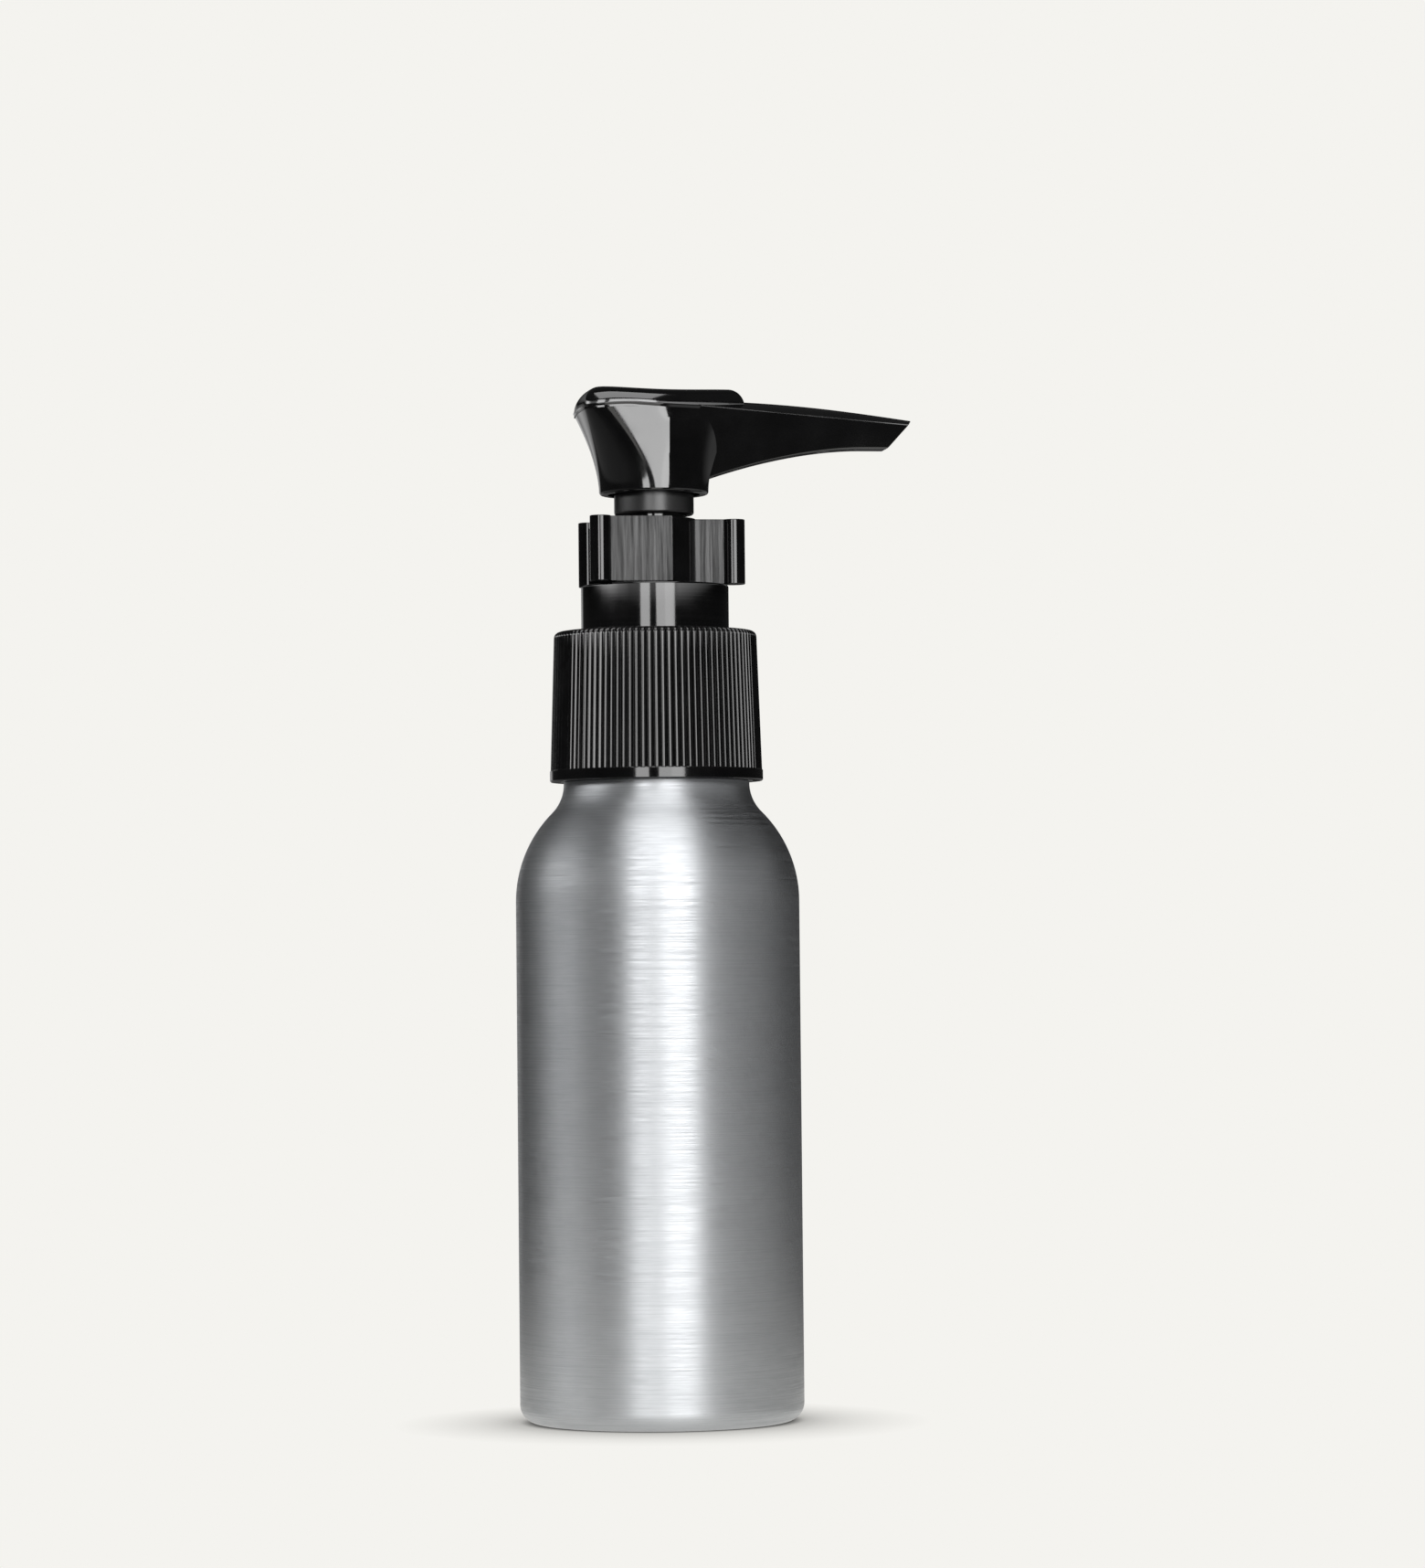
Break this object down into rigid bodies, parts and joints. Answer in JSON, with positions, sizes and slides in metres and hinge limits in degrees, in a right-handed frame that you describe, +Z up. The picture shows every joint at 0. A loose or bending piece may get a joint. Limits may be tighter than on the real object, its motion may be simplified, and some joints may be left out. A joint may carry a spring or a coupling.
{
  "type": "lotion pump bottle",
  "caption": "Cylindrical brushed aluminium bottle with a domed shoulder and a black screw-on pump: ribbed closure, collar, lock clip on the stem and a flared head with a long tapered nozzle.",
  "frame": {"origin": "centre of the flat base, on the bottle's axis", "axes": "+Z up along the bottle's axis, +X towards the nozzle's tip"},
  "size_m": [0.0512, 0.036, 0.1309],
  "materials": {
    "brushed_aluminium": "brushed round the axis",
    "black_gloss_plastic": "moulded, glossy",
    "black_satin_plastic": "moulded, satin",
    "clear_white_plastic": "natural, milky",
    "soft_white_plastic": "moulded, satin",
    "gasket_rubber": "matt",
    "spring_steel": "drawn, bright"
  },
  "bodies": {
    "bottle": {"bottle_shell": "brushed_aluminium"},
    "pump_unit": {"barrel": "clear_white_plastic", "collar": "black_gloss_plastic", "gasket": "gasket_rubber", "dip_tube": "clear_white_plastic", "return_spring": "spring_steel"},
    "closure": {"closure": "black_gloss_plastic"},
    "piston": {"piston": "soft_white_plastic"},
    "head": {"actuator_head": "black_gloss_plastic", "stem": "black_satin_plastic", "piston_rod": "soft_white_plastic"},
    "inlet_ball": {"inlet_ball": "spring_steel"},
    "lock_clip": {"lock_clip": "black_satin_plastic"}
  },
  "joints": [
    {"name": "pump_rise", "type": "slide", "parent": "bottle", "child": "pump_unit", "axis": [0, 0, 1], "range_m": [0, 0.0048]},
    {"name": "closure_turn", "type": "hinge", "parent": "pump_unit", "child": "closure", "pos_m": [0, 0, 0.081], "axis": [0, 0, 1], "range_deg": [0, 540]},
    {"name": "head_press", "type": "slide", "parent": "pump_unit", "child": "piston", "axis": [0, 0, -1], "range_m": [0, 0.0004], "stiffness_N_per_m": 500, "springref_m": -0.0006, "deforming": ["return_spring"]},
    {"name": "head_swivel", "type": "hinge", "parent": "piston", "child": "head", "pos_m": [0, 0, 0.1149], "axis": [0, 0, 1], "continuous": true},
    {"name": "inlet_ball_lift", "type": "slide", "parent": "pump_unit", "child": "inlet_ball", "axis": [0, 0, 1], "range_m": [0, 0.0015]},
    {"name": "clip_pull", "type": "slide", "parent": "pump_unit", "child": "lock_clip", "axis": [1, 0, 0], "range_m": [0, 0.028]}
  ],
  "couplings": [
    {"joint": "pump_rise", "follows": "closure_turn", "m_per_rad": 0.00050532}
  ]
}
